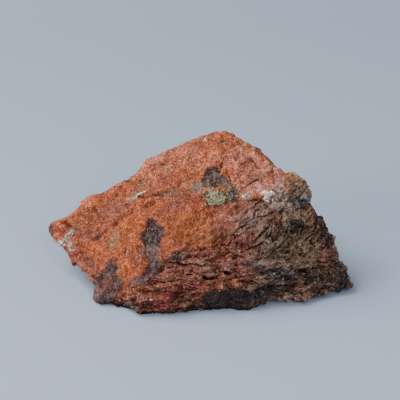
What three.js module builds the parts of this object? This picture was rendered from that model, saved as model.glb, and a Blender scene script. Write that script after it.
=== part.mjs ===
// A rough hand specimen of nuummite: one broken stone with a smooth, rust-coloured
// weathering rind over its upper face and a coarse, fibrous break along its front and right.
// Millimetres, +Z up, +X to the right of the viewer, +Y away. The stone stands on z = 0.

import * as THREE from "three";
import { ConvexHull } from "three/addons/math/ConvexHull.js";
import { ImprovedNoise } from "three/addons/math/ImprovedNoise.js";

// Driving dimensions
const MAX_EDGE = 2.7; // longest side of a facet of the finished surface
const CORE = [0, -1, 13]; // the middle of the stone, which every corner faces
const SLOPE_TILT = 35; // degrees; places on the front are given up a slope of this tilt
const ROUNDING_PASSES = 3; // how far the sharp edges of the block are worn
const ROUNDING = 0.55; // share of the way to its neighbours that a pass draws a point
const REBOUND = 0.45; // share of it given back, so that the block keeps its size
const RIND_THICKNESS = 0.6; // the rind stands this far proud of the break
const SEAM_BLUR = 3; // width over which the smooth rind gives way to the break
const BACK_SEAM = 14; // height above the floor at which the rind ends on the back
const FLOOR_GAP = 0.1; // what doesn't rest on the floor stays this far above it

// The corners of the block, each [x, y, z], in runs that follow the stone's own edges
const CREST = [
  [-43.6, -0.3, 10.7], [-39.4, 1.6, 13.2], [-34.2, 3.2, 16.4], [-31.4, 3.8, 18.5],
  [-25.2, 4.5, 21.6], [-19.6, 6, 24], [-16.5, 7.1, 26.6], [-11.2, 8, 29.8],
  [-2.8, 9, 34.1], [2.8, 9, 36.7], [5.3, 8.7, 37.8], [8.1, 8.3, 37.7], [10.6, 6.6, 36.9],
  [16.2, 4.2, 35.1], [19, 1.5, 33.3], [22.7, -0.9, 31], [24.6, -2, 29.7],
];
const RIGHT_EDGE = [
  [27.4, -2, 29.4], [29.8, -3.4, 27], [30.8, -4.5, 24.6], [31.2, -5, 21.7], [33.3, -6, 18.9],
  [36.4, -7, 15.9], [38.2, -8.5, 11.8], [38.9, -10, 8.2], [40.5, -11.5, 6.2], [42, -13.2, 3.4],
  [43.3, -16.6, 1.3],
];
const FRONT_FOOT = [
  [38, -18.6, 1.2], [32, -20, 1.3], [28.8, -21.2, 1.1], [23.8, -21.5, 1.3], [18.5, -21.6, 1.3],
  [13.2, -23.2, 0.5], [9.5, -24, 0], [3.9, -24.6, 0], [-3.4, -25, 0], [-11.2, -25.6, 0],
  [-17.9, -25, 0], [-23.6, -22.6, 0], [-28.9, -20.8, 0],
];
const LEFT_EDGE = [
  [-29.4, -20.6, 1.2], [-29, -18.9, 4], [-29.2, -17.3, 6.8], [-33, -13.6, 7.2],
  [-37, -9.4, 8], [-40.4, -5.4, 8.8], [-42.8, -2.4, 9],
];
const UPPER_FACE = [
  [-30, -4, 14.5], [-20, -6, 18], [-10, -2, 25.1], [-4, 3, 30.9], [4, 1, 32.8],
  [12, 0, 32.1], [20, -3, 29.8],
];
const BROW = [
  [23.8, -6.8, 26.8], [19.6, -7.4, 26.3], [12.6, -8.2, 25.8], [4.2, -9.3, 25.8],
  [-1.4, -10.2, 24.2], [-8.4, -12, 20], [-14, -14.4, 15.9], [-18.2, -18.1, 11.7],
  [-19.6, -21.8, 7.2], [-24.6, -15.2, 10.6],
];
const FRONT_MIDDLE = [
  [30.8, -8.5, 18.7], [25.2, -11.5, 17.4], [18.2, -13.8, 17.4], [11.2, -15.4, 16.4],
  [1.4, -17, 16], [-7, -19.5, 12.7], [-12.6, -22.5, 8],
];
const FRONT_LIP = [
  [37, -13, 6], [30.8, -15, 6.2], [25.2, -18, 7.5], [19.6, -20.2, 8.2], [13.2, -22.2, 6.2],
  [7, -23.6, 7.6], [0, -24.6, 7.3], [-4.2, -25.6, 4.6], [-11.2, -26.2, 4.9], [-18.2, -24.8, 4.6],
];
const BACK_FOOT = [
  [-24, 4, 0], [-16, 13, 0], [-2, 19.5, 0], [14, 17, 0], [25, 9, 0.8], [33, -3, 1.5],
];
const BACK_MIDDLE = [
  [-33, 6, 8], [-23, 14, 9], [-10, 22.5, 13], [4, 25, 16], [18, 19, 13], [29, 9.5, 10],
  [36, 0.5, 6],
];
const BACK_SHOULDER = [
  [-20, 11, 17], [-12, 16, 22], [2, 18.5, 28], [13, 14.5, 25], [24, 7.5, 19],
];
const SOLE = [
  [-20, -8, 0], [-8, 4, 0], [-4, -12, 0], [8, -8, 0], [14, 6, 0],
];

// The seam where the rind ends, as [x, distance up the slope], from left to right
const SEAM = [
  [-24, -14], [-19, -4], [-14, 5], [-8, 10], [-1, 14], [6, 15.5], [24, 18], [30, 26],
];

// Hollows of the front: [x, distance up the slope], half its width and height, and the depth,
// which is less than 0 for a knob
const HOLLOWS = [
  { at: [3.4, 23.8], half: [5.5, 3.6], depth: 0.9 }, // grey window under the apex
  { at: [4.6, 19], half: [3.4, 2.4], depth: -0.5 }, // nest of green crystals
  { at: [-14.2, 6.4], half: [2.6, 5], depth: 0.9 }, // upper end of the long scar
  { at: [-14.2, -1.6], half: [2, 4.5], depth: 0.7 }, // its lower end
  { at: [26, 9], half: [5.5, 3.6], depth: 1.8 }, // dark hollow on the right
  { at: [31.5, -2.6], half: [8, 1.8], depth: 1.5 }, // crease above the toe
  { at: [8.4, 2], half: [2.6, 1.8], depth: 1 }, // pits of the break
  { at: [7.8, -3.2], half: [2.6, 2], depth: 1.1 },
  { at: [-2.2, -2], half: [2.4, 1.8], depth: 0.8 },
  { at: [1.4, -5.2], half: [2.8, 1.8], depth: 0.9 },
  { at: [-6.4, 1.8], half: [2, 2], depth: -0.7 }, // grey crystal and the hollow below it
  { at: [-6.4, -2.2], half: [2.8, 2], depth: 0.7 },
  { at: [27, 21], half: [3, 2.6], depth: -0.9 }, // knob of the right shoulder
  { at: [27, 16], half: [3.4, 1.8], depth: 1.1 }, // notch under it
];

const slopeTilt = THREE.MathUtils.degToRad(SLOPE_TILT);
const noise = new ImprovedNoise();

// Noise of about -1 to 1 whose lumps are `size` across, moved by `shift` so that layers differ
function lumps(p, size, shift) {
  return noise.noise(p.x / size + shift, p.y / size - shift, p.z / size + 2 * shift);
}

function upSlope(p) {
  return p.y * Math.sin(slopeTilt) + p.z * Math.cos(slopeTilt);
}

function seamAt(x) {
  const last = SEAM.length - 1;
  if (x <= SEAM[0][0]) return SEAM[0][1];
  if (x >= SEAM[last][0]) return SEAM[last][1];
  const k = SEAM.findIndex(([seamX]) => seamX > x);
  const [x0, height0] = SEAM[k - 1];
  const [x1, height1] = SEAM[k];
  return THREE.MathUtils.lerp(height0, height1, (x - x0) / (x1 - x0));
}

// 1 on the smooth rind, 0 on the coarse break, and between the two along the seams
function rindShare(p) {
  const onFront = THREE.MathUtils.smoothstep(upSlope(p) - seamAt(p.x), -SEAM_BLUR / 2, SEAM_BLUR / 2);
  const onBack = THREE.MathUtils.smoothstep(p.z - BACK_SEAM, -SEAM_BLUR, SEAM_BLUR);
  const behind = THREE.MathUtils.smoothstep(p.y, 7, 11);
  return onFront * THREE.MathUtils.lerp(1, onBack, behind);
}

// How deep the hollows of the front are at a point; each has a flat floor and sloping sides.
function hollowed(p) {
  return HOLLOWS.reduce((sum, { at, half, depth }) => {
    const away = Math.hypot((p.x - at[0]) / half[0], (upSlope(p) - at[1]) / half[1]);
    return sum + depth * (1 - THREE.MathUtils.smoothstep(away, 0.5, 1.25));
  }, 0);
}

// The block: its corners, joined by the triangles that their directions from the core give
function block() {
  const runs = [
    CREST, RIGHT_EDGE, FRONT_FOOT, LEFT_EDGE, UPPER_FACE, BROW, FRONT_MIDDLE, FRONT_LIP,
    BACK_FOOT, BACK_MIDDLE, BACK_SHOULDER, SOLE,
  ];
  const points = runs.flat().map((corner) => new THREE.Vector3(...corner));
  const core = new THREE.Vector3(...CORE);
  const directions = points.map((p) => p.clone().sub(core).normalize());
  const hull = new ConvexHull().setFromPoints(directions);
  const triangles = hull.faces.map(({ edge }) => {
    const edges = [edge, edge.next, edge.next.next];
    return edges.map((side) => directions.indexOf(side.head().point));
  });
  return { points, triangles };
}

// Splits every edge that is over `longest` at its middle, until none is left.
function refined({ points, triangles }, longest) {
  for (let split = true; split; ) {
    const middles = new Map();
    const middle = (a, b) => {
      if (points[a].distanceTo(points[b]) <= longest) return -1;
      const key = a < b ? `${a} ${b}` : `${b} ${a}`;
      if (!middles.has(key)) {
        middles.set(key, points.length);
        points.push(points[a].clone().lerp(points[b], 0.5));
      }
      return middles.get(key);
    };
    triangles = triangles.flatMap((corners) => {
      const [a, b, c] = corners;
      return cut(corners, [middle(a, b), middle(b, c), middle(c, a)]);
    });
    split = middles.size > 0;
  }
  return { points, triangles };
}

// One triangle, cut by the middles that its edges ab, bc and ca have; -1 is an edge left whole.
function cut(corners, middles) {
  const whole = middles.filter((m) => m < 0).length;
  if (whole === 3) return [corners];
  // Turned so that a lone split edge comes first, and a lone whole edge comes last
  const lead = whole === 2 ? middles.findIndex((m) => m >= 0) : (middles.indexOf(-1) + 1) % 3;
  const at = (list, k) => list[(lead + k) % 3];
  const [a, b, c] = [at(corners, 0), at(corners, 1), at(corners, 2)];
  const [ab, bc, ca] = [at(middles, 0), at(middles, 1), at(middles, 2)];
  if (whole === 2) return [[a, ab, c], [ab, b, c]];
  if (whole === 1) return [[ab, b, bc], [a, ab, bc], [a, bc, c]];
  return [[a, ab, ca], [ab, b, bc], [ca, bc, c], [ab, bc, ca]];
}

// Draws each point towards the mean of its neighbours and part of the way back, which wears
// the edges but keeps the size; the sole keeps its height.
function rounded({ points, triangles }, passes) {
  const neighbours = points.map(() => new Set());
  for (const [a, b, c] of triangles) {
    neighbours[a].add(b).add(c);
    neighbours[b].add(a).add(c);
    neighbours[c].add(a).add(b);
  }
  const drawn = (from, share) => from.map((p, k) => {
    const mean = new THREE.Vector3();
    for (const n of neighbours[k]) mean.addScaledVector(from[n], 1 / neighbours[k].size);
    const to = p.clone().lerp(mean, share);
    if (p.z === 0) to.z = 0;
    return to;
  });
  for (let pass = 0; pass < passes; pass++) {
    points = drawn(drawn(points, ROUNDING), -REBOUND);
  }
  return { points, triangles };
}

function geometryOf({ points, triangles }) {
  const geometry = new THREE.BufferGeometry().setFromPoints(points);
  geometry.setIndex(triangles.flat());
  geometry.computeVertexNormals();
  return geometry;
}

// How far the surface stands out at a point of the worn block, where it faces `out`: broad
// swells all over, crags on the break, and the hollows on what faces up or to the front
function relief(p, out) {
  const rind = rindShare(p);
  const swells = 0.7 * lumps(p, 13, 3.1) + 0.45 * lumps(p, 6, 7.7);
  const crags = 0.9 * (0.5 - Math.abs(lumps(p, 6, 1.3))) + 0.5 * lumps(p, 3.6, 5.2);
  const facing = out.z * Math.sin(slopeTilt) - out.y * Math.cos(slopeTilt);
  const front = THREE.MathUtils.smoothstep(facing, 0, 0.3);
  const rough = swells * (1 - 0.5 * rind) + crags * (1 - 0.85 * rind);
  return RIND_THICKNESS * rind + rough - front * hollowed(p);
}

function stone() {
  const worn = rounded(refined(block(), MAX_EDGE), ROUNDING_PASSES);
  const normals = geometryOf(worn).getAttribute("normal");
  const points = worn.points.map((p, k) => {
    const out = new THREE.Vector3().fromBufferAttribute(normals, k);
    const to = p.clone().addScaledVector(out, relief(p, out));
    to.z = p.z === 0 ? 0 : Math.max(to.z, FLOOR_GAP);
    return to;
  });
  return geometryOf({ points, triangles: worn.triangles });
}

// The stone's own frame has its origin at the middle of its base.
function standing(geometry) {
  geometry.computeBoundingBox();
  const middle = geometry.boundingBox.getCenter(new THREE.Vector3());
  return geometry.translate(-middle.x, -middle.y, -geometry.boundingBox.min.z);
}

const rust = new THREE.MeshStandardMaterial({ color: 0xa85f42, roughness: 0.85, metalness: 0 });

const specimen = new THREE.Group();
const nuummite = new THREE.Mesh(standing(stone()), rust);
nuummite.name = "nuummite";
specimen.add(nuummite);

export default specimen;
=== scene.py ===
import itertools
import math

import bmesh
import bpy
import numpy as np
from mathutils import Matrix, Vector
from mathutils.kdtree import KDTree


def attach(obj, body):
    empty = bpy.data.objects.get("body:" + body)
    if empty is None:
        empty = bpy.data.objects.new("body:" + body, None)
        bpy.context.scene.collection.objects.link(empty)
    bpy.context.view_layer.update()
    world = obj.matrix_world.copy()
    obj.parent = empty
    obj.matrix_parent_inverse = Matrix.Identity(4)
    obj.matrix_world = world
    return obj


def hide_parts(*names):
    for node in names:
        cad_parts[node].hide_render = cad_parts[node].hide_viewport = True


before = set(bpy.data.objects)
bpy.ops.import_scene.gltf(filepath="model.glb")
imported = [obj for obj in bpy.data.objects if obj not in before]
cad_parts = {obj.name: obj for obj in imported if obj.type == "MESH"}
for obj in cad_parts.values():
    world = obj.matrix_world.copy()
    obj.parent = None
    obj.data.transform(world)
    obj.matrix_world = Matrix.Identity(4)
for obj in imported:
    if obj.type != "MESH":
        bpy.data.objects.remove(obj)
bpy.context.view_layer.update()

# The looks of the nuummite specimen. Points are worked out in millimetres in the stone's own
# frame, and become metres when a mesh is made.
MM = 0.001

# The picture: the camera looks at AIM from the front, CAMERA_TILT above level.
LENS = 150
SENSOR = 36
PICTURE_WIDTH = 112
CAMERA_TILT = math.radians(35)
AIM = np.array([0, -5, 24.7])
CAMERA_AWAY = PICTURE_WIDTH * LENS / SENSOR
TO_CAMERA = np.array([0, -math.cos(CAMERA_TILT), math.sin(CAMERA_TILT)])
PICTURE_RIGHT = np.array([1, 0, 0])
PICTURE_UP = np.array([0, math.sin(CAMERA_TILT), math.cos(CAMERA_TILT)])

# The fine surface: the longest side of a triangle on the break and the rind where they show
# in the picture, elsewhere, and on the sole. It is worn at the coarser grains first.
BREAK_GRAIN = 0.39
RIND_GRAIN = 0.5
HIDDEN_GRAIN = 1
SOLE_GRAIN = 3
WEAR_GRAINS = (1.6, 0.8)

# Points up to SOLE_HEIGHT are the sole; all others stay at LOWEST or above it
SOLE_HEIGHT = 0.02
LOWEST = 2 * SOLE_HEIGHT

# Noise in layers: [how strong, size, seed]
SPECKS = [(1, 0.75, 15), (0.6, 0.45, 16)]
RAGGED = [[(0.8, 2.6, 11), (0.6, 1.1, 12)], [(0.8, 2.6, 13), (0.6, 1.1, 14)]]
RIND_LUMPS = [(0.4, 3.4, 31), (0.34, 1.5, 32), (0.14, 0.8, 33)]
BREAK_LUMPS = [(0.8, 6.5, 35), (0.9, 3.6, 27), (0.45, 1.7, 28), (0.16, 0.7, 29)]
BREAK_RIDGES = [(1.1, 1.9, 34), (0.5, 0.9, 25)]
SWIRLS = [(1.1, 3.2, 62), (1.8, 1.2, 63)]

# Colours of the stone, as they look in even light
PALETTE = {
    "rust": (180, 90, 52),
    "orange": (200, 98, 48),
    "brown rust": (154, 82, 54),
    "pink": (236, 144, 114),
    "lilac": (212, 158, 146),
    "brick": (164, 76, 54),
    "rust red": (146, 62, 44),
    "crimson": (122, 50, 46),
    "oxblood": (88, 36, 32),
    "ochre": (204, 138, 52),
    "golden": (206, 114, 58),
    "mauve": (142, 110, 106),
    "grey plum": (104, 82, 84),
    "plum shadow": (70, 52, 56),
    "slate": (64, 62, 64),
    "blue grey": (96, 102, 108),
    "charcoal": (48, 42, 40),
    "plum black": (44, 30, 30),
    "umber": (92, 66, 50),
    "olive": (102, 88, 56),
    "taupe": (140, 112, 92),
    "tan": (176, 138, 104),
    "putty": (150, 128, 110),
    "dusty rose": (158, 98, 84),
    "rosewood": (134, 74, 56),
    "pale green": (196, 192, 140),
    "bone": (222, 206, 188),
    "white": (255, 246, 222),
}

# Places on the front are in mm to the right of the picture's middle and up from its base line

# The coarse break, below and to the right of the smooth rind
BREAK = [
    (24.8, 25.6), (23.4, 22.4), (23, 18.8), (17.4, 17.2), (12, 16.6), (8.4, 14.2), (6.6, 10.4),
    (3.6, 5.6), (-1.1, 3.4), (-6.2, 3.2), (-9.5, 0.8), (-12, -2.5), (-16, -5), (-19.6, -7.6),
    (-22.6, -10.4), (-28, -11.4), (-32, -20), (60, -20), (60, 30), (30, 32),
]

# Where the rind thins out slowly into the break, and where it is thin: middle, half width and
# height. Behind, the break reaches up to HIDDEN_BREAK_TOP.
SOFT_EDGE = ((7, 10), (8, 7))
THIN_RIND = ((-1, 7), (10, 6))
HIDDEN_BREAK_TOP = 13

# Bare places where the rind has spalled off: [how deep, colour, colour of its mottles, outline]
WINDOWS = [
    # Under the apex, with its tail to the left
    [0.45, "mauve", "grey plum",
     [(2.2, 26.4), (4.8, 26.6), (5.8, 24.8), (9, 21.2), (5, 20.8), (1, 21), (0.6, 23.4), (1.8, 24.8)]],
    [0.15, "putty", "mauve",
     [(-3.6, 20.2), (-0.6, 22.6), (2, 22.8), (2, 20.8), (-1, 19.6)]],
    # The long scar, and its branch to the right
    [0.35, "plum shadow", "grey plum",
     [(-14.6, 12.2), (-13.4, 12.4), (-11.6, 10.2), (-9.4, 9.6), (-10.6, 8), (-9.2, 7.4), (-11, 6.4),
      (-11.4, 4.4), (-13, 3.6), (-16, 5), (-16.8, 8), (-15.2, 9.4)]],
    [0.2, "mauve", "grey plum",
     [(-15.8, 5.4), (-11.8, 5), (-11.2, 1.6), (-12.2, -3.4), (-15, -5.6), (-20.6, -7.2),
      (-19.4, -5.4), (-15.4, -3), (-14, 0.4), (-15.6, 2.6)]],
    # The facet at the lower left
    [0, "plum shadow", "grey plum",
     [(-25, 0.4), (-22.8, -1.8), (-21.6, -5), (-22.8, -9), (-25.4, -11.4), (-30, -12.4),
      (-32, -9), (-31, -5.6), (-28.8, -4.4)]],
    # The smooth dark facet at the foot, facing down: partly its own dark colour, partly painted shade
    [0, "plum black", "charcoal",
     [(0.2, -9.4), (2.4, -8), (12.6, -7.4), (14.2, -9.2), (12, -16), (0, -16)]],
]

# Patches of colour, each laid over those before it: [colour, middle, half width and height,
# turn in degrees, strength]
PATCHES = [
    # The left of the rind
    ["brown rust", (-32.5, 9.5), (6, 4), 20, 0.5],
    ["brick", (-39.4, 10.4), (2.8, 2.6), 0, 0.6],
    ["orange", (-27, 17.4), (9, 1.8), 22, 0.45],
    ["brown rust", (-31, 12.6), (4, 2.4), 20, 0.5],
    ["mauve", (-24.6, 14.6), (3.6, 1.8), 20, 0.3],
    ["mauve", (-30.6, 6.4), (3.4, 2), 30, 0.35],
    ["orange", (-29, 3.6), (4.6, 2.8), -30, 0.6],
    ["rosewood", (-33, 0.2), (6.4, 2.8), -42, 0.9],
    ["brick", (-27.6, -2.4), (3, 1.7), -40, 0.6],
    ["tan", (-24.2, 6), (3.2, 1.3), 58, 0.55],
    ["rust red", (-34.7, 2.2), (2.4, 2), 0, 0.6],
    ["orange", (-19, 10), (3, 5.4), -20, 0.8],
    ["orange", (-20.6, -2), (1.8, 3.4), 10, 0.85],
    ["orange", (-21.6, 2.4), (2.6, 2), 30, 0.5],
    ["brick", (-16.6, 3), (1.8, 1.2), 30, 0.6],
    ["orange", (-12.4, 1.8), (1.7, 1.2), 20, 0.6],
    ["mauve", (-17.2, 1.6), (1.8, 0.8), 40, 0.6],
    ["orange", (-18, 17.4), (3, 1.2), 20, 0.35],
    ["pink", (-9, 27.6), (11, 3), 28, 0.3],
    ["orange", (-17, 24), (5, 1.2), 28, 0.5],
    ["brick", (-9.8, 22.4), (6, 1.8), 10, 0.25],
    ["pink", (-14.6, 22.4), (2.6, 1.8), 20, 0.4],
    ["pink", (-4.2, 22.6), (2.4, 1.6), 0, 0.35],
    ["ochre", (-9.3, 26.5), (1.3, 0.9), 0, 0.4],
    ["olive", (-16.8, 22.2), (1.5, 0.9), 20, 0.8],
    ["putty", (-18.2, 18.7), (3, 0.7), 30, 0.6],
    ["pink", (-19.6, 17.9), (1.6, 0.7), 10, 0.7],
    # The middle of the rind
    ["olive", (-9.2, 19.2), (3.4, 0.9), 6, 0.7],
    ["grey plum", (-6, 18.8), (2.4, 1), -20, 0.5],
    ["brick", (-1.4, 17.2), (3.4, 1.8), 0, 0.7],
    ["brick", (-8.6, 14.6), (6, 2.4), 14, 0.5],
    ["mauve", (-6.4, 16), (4, 1.7), 0, 0.2],
    ["orange", (-11.4, 16.4), (1.8, 1.6), 10, 0.5],
    ["golden", (-3.4, 9.4), (8, 4.2), 14, 0.5],
    ["orange", (1.8, 14.4), (5, 1.6), -10, 0.45],
    ["orange", (-6.4, 5.6), (3, 1.7), 10, 0.5],
    ["golden", (3, 7), (3.6, 3), 30, 0.75],
    ["golden", (-1.1, 5.6), (2.4, 2), 0, 0.6],
    # Right of the apex
    ["pink", (14.6, 25.4), (10, 6), -36, 0.85],
    ["pink", (11, 19.6), (5, 2.6), 0, 0.8],
    ["lilac", (22.4, 20.8), (1.8, 3.4), 10, 0.75],
    ["lilac", (22.6, 25.8), (1.6, 2), 0, 0.5],
    ["pink", (12.6, 29.4), (4, 2), -40, 0.5],
    ["lilac", (19.6, 20.2), (4, 1.2), 0, 0.55],
    ["lilac", (22.8, 18.9), (1.8, 1.2), 0, 0.8],
    ["orange", (3.6, 30.2), (4.2, 3), 25, 0.85],
    ["orange", (0.4, 26.2), (2.6, 3.4), -30, 0.7],
    ["pink", (-1.1, 25.8), (2, 2), 0, 0.4],
    ["pink", (4, 28.6), (7, 3), 0, 0.35],
    ["orange", (8.4, 26), (1, 3.4), -30, 0.85],
    ["orange", (17, 29.4), (4.4, 1), -42, 0.6],
    ["brick", (12.8, 27.6), (2.2, 0.8), 35, 0.75],
    ["brick", (12.6, 24.8), (0.8, 1.3), 30, 0.7],
    ["brick", (20, 23.4), (1.4, 1), 0, 0.5],
    ["brick", (23.6, 25.4), (1.7, 0.7), -40, 0.6],
    ["umber", (19.4, 28.4), (3.6, 0.4), -40, 0.7],
    ["tan", (17.6, 23.4), (1.2, 0.9), 0, 0.5],
    ["lilac", (15.7, 22.4), (2.4, 2), 0, 0.4],
    ["olive", (6.2, 33.6), (1.5, 0.7), 10, 0.95],
    # The tip
    ["putty", (-37.4, 6.6), (2.8, 1.2), 55, 0.45],
    ["taupe", (-35.4, 8.6), (1.2, 2.4), -30, 0.5],
    ["bone", (-36.2, 4.4), (1.4, 0.7), -50, 0.7],
    # Painted shade: the dark rim of the tip and of the lower left edge, where the underside turns
    # away, in this row and the next two
    ["charcoal", (-41.8, 8.6), (1.5, 3.6), 8, 0.95],
    ["plum black", (-38.6, 4.2), (3.4, 0.6), -45, 0.7],
    ["plum black", (-32.4, -2), (7, 0.5), -34, 0.7],
    # Around the apex window
    ["olive", (4.4, 18), (3.6, 2.8), 0, 0.8],
    ["umber", (3.6, 16.6), (2.4, 1), 10, 0.6],
    ["orange", (5.6, 26.6), (1.4, 1.4), 0, 0.6],
    ["taupe", (8.4, 19), (2.4, 2), 0, 0.95],
    ["ochre", (6.4, 21), (2.4, 0.5), -8, 0.9],
    ["bone", (13.2, 18.2), (1.5, 1.1), 0, 0.6],
    ["rust red", (16.4, 18), (1.7, 1.1), 0, 0.8],
    # The break below the pink plane
    ["rust", (7, 12), (5, 3.6), -20, 0.5],
    ["pink", (9.4, 12), (6.4, 4.4), 35, 0.75],
    ["pink", (13.4, 14), (7, 2.6), -6, 0.6],
    ["pink", (16, 11.4), (5, 2.6), 36, 0.85],
    ["mauve", (19.4, 15), (4, 1.2), 10, 0.3],
    ["pink", (12.4, 9.4), (3.4, 2), 36, 0.95],
    ["lilac", (14.4, 10.8), (5, 2.6), 36, 0.5],
    ["putty", (25.4, 12.4), (3, 1), 20, 0.6],
    ["lilac", (22.2, 15.8), (4.4, 1.4), 6, 0.9],
    ["putty", (22.4, 15.6), (2, 0.8), 6, 0.6],
    ["pale green", (21.4, 15), (1.3, 0.7), 10, 0.7],
    ["rust red", (22, 11.2), (1, 2), -30, 0.75],
    ["taupe", (23.8, 11.2), (0.6, 2), 40, 0.6],
    # The red middle of the break
    ["crimson", (10.4, 5.4), (5.6, 2.2), 14, 0.85],
    ["rust red", (13, 8), (4, 1.2), 30, 0.5],
    ["brick", (3, 1.6), (6, 2), 0, 0.6],
    ["brick", (-11.2, 4), (3, 4), 0, 0.5],
    ["rosewood", (-7.6, -0.6), (4, 2.4), 0, 0.7],
    ["dusty rose", (5, -1.4), (6, 1.4), 0, 0.5],
    ["orange", (-7, -4), (4, 1), 10, 0.6],
    ["brick", (3.6, -3.6), (7, 1.8), 0, 0.5],
    ["crimson", (11, -1), (3, 1.4), 0, 0.5],
    ["golden", (8.6, -5.8), (3.4, 1), 0, 0.6],
    ["charcoal", (7.2, 2.2), (1.4, 0.6), 14, 0.95],
    ["charcoal", (7.8, -3), (1.2, 0.8), 0, 0.95],
    ["charcoal", (1.1, -4.6), (1.1, 0.8), -30, 0.9],
    ["olive", (-5, -2.6), (1.4, 0.7), 0, 0.8],
    ["umber", (-10.4, -0.6), (1.4, 1), 0, 0.8],
    ["tan", (2, -2), (3, 0.8), -30, 0.5],
    ["orange", (-5, -3.6), (3.6, 1.4), 10, 0.5],
    # The foliated foot on the left
    ["crimson", (-14.2, -5.4), (3.6, 1.6), 15, 0.75],
    ["rust", (-17, -8.4), (5, 1.8), 8, 0.7],
    ["oxblood", (-9, -8.6), (5.4, 1.7), 0, 0.7],
    ["oxblood", (-12, -12.6), (8, 1), 0, 0.7],
    ["plum black", (-19.4, -11.8), (6, 1.5), -4, 0.85],
    ["crimson", (-3, -6.8), (4, 1.4), 0, 0.5],
    ["umber", (-2.4, -11), (4.4, 2), 0, 0.8],
    # The right of the break, and the toe
    ["plum black", (20.6, -8), (5, 1.6), 5, 0.85],
    ["plum black", (15.6, -8.6), (4, 2.2), 0, 0.9],
    ["blue grey", (15.6, -1), (2.4, 1.2), 0, 0.6],
    ["tan", (30.4, 5), (3.4, 2.4), 10, 0.6],
    ["tan", (28.6, 12.8), (3.4, 1.3), 0, 0.8],
    ["tan", (29, -0.8), (2.6, 1.6), 0, 0.9],
    ["charcoal", (32.6, -4.8), (4, 1.6), 0, 1],
    ["charcoal", (18, -8), (6, 2.6), 0, 0.85],
    ["charcoal", (35, 8.6), (1.6, 3), 20, 0.7],
    ["charcoal", (24, -4.6), (4, 1.6), 0, 0.8],
    ["umber", (30, -8), (9, 2), 4, 0.6],
    ["charcoal", (39.4, -4.6), (3.6, 6), 0, 0.9],
    ["rust red", (35, 1.6), (2.2, 2.2), 0, 0.9],
    ["oxblood", (31.4, 0), (3, 0.8), 0, 0.6],
    # Painted shade along the right edge, which turns from the light, in this row and the next
    ["plum black", (36.6, 5), (1.2, 4), 15, 0.8],
    ["plum black", (33, 12), (1, 3), 30, 0.7],
    # More light and dark spots on the middle and the right of the break
    ["pink", (12.3, 8.8), (3, 1.8), 20, 0.9],
    ["pink", (15.7, 12.3), (3, 2), 20, 0.8],
    ["lilac", (15.7, 12.3), (3, 2), 20, 0.5],
    # Painted shade on the right edge, which turns from the light
    ["plum black", (32.8, 12.3), (1.8, 2.2), 20, 0.6],
    ["charcoal", (32.5, -6), (3, 2.6), 0, 0.6],
    ["plum black", (39.6, -7.4), (3, 2.4), 0, 0.8],
    ["tan", (29.1, 0.4), (2.8, 2.4), 0, 0.9],
    ["tan", (28.8, 12.2), (2, 1.4), 0, 0.9],
    ["golden", (9.4, 2.4), (3, 1), 20, 0.5],
    ["lilac", (22.8, 17.2), (3, 1), 4, 0.8],
    ["tan", (22, 16), (3.4, 0.8), 4, 0.6],
    ["tan", (16.6, 9), (3, 0.9), 40, 0.6],
    ["olive", (19.6, 8.6), (1.6, 0.9), 40, 0.6],
    ["plum black", (17.6, 5.4), (2.6, 0.7), 44, 0.7],
    ["plum black", (14, -10.4), (6, 1.2), 0, 0.9],
    ["charcoal", (15.6, -9.6), (3.2, 2.4), 0, 0.9],
    # The dark streaks right of the middle, and the floor of the hollow below the knob
    ["slate", (20.6, -3.4), (5.4, 1.9), 0, 0.8],
    ["plum shadow", (23.6, -1.4), (2.6, 1.4), 0, 0.6],
    ["charcoal", (22.4, -5), (4.4, 1.8), 0, 1],
    ["slate", (26.8, 9.8), (2.8, 2), 0, 0.6],
    ["tan", (25.4, 13), (2.6, 0.6), 8, 0.8],
    # Single spots, laid over the others
    ["pink", (2.2, 5.8), (3, 2), 0, 0.7],
    ["golden", (2.2, 5.8), (3, 2), 0, 0.7],
    ["rust", (6, 5.8), (2.4, 1.8), 0, 0.9],
    ["bone", (14.6, 11.4), (4.4, 2), 30, 0.3],
    ["bone", (22.4, 16), (3.2, 1.3), 0, 0.7],
    ["taupe", (26, 8), (1.6, 1.2), 0, 0.5],
    ["pink", (5.6, 19), (2.4, 2), 0, 0.3],
    ["bone", (22.4, 19), (1.6, 1.6), 0, 0.35],
    ["olive", (17.6, 6.6), (1.4, 0.7), 44, 0.6],
    # Painted shade on the right edge, which turns from the light
    ["plum black", (33.4, 10), (1.3, 3), 30, 0.7],
    ["charcoal", (22.4, 4.4), (1.4, 1), 0, 0.7],
    # The knob
    ["ochre", (25.8, 23.8), (2.2, 0.8), -15, 0.9],
    ["golden", (24.6, 20.4), (1.4, 1.6), 0, 0.6],
    ["tan", (27.4, 21), (3, 2), -20, 0.9],
    ["pink", (25.6, 22), (1.4, 1.4), 0, 0.6],
    ["putty", (28.6, 19.8), (2.6, 1.2), 0, 0.6],
    ["blue grey", (28.4, 17.2), (3.2, 1.5), 0, 0.85],
    ["plum black", (31, 17.4), (0.9, 3), 10, 0.9],
    ["brick", (30, 13.4), (2.4, 0.9), 0, 0.7],
]

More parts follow.
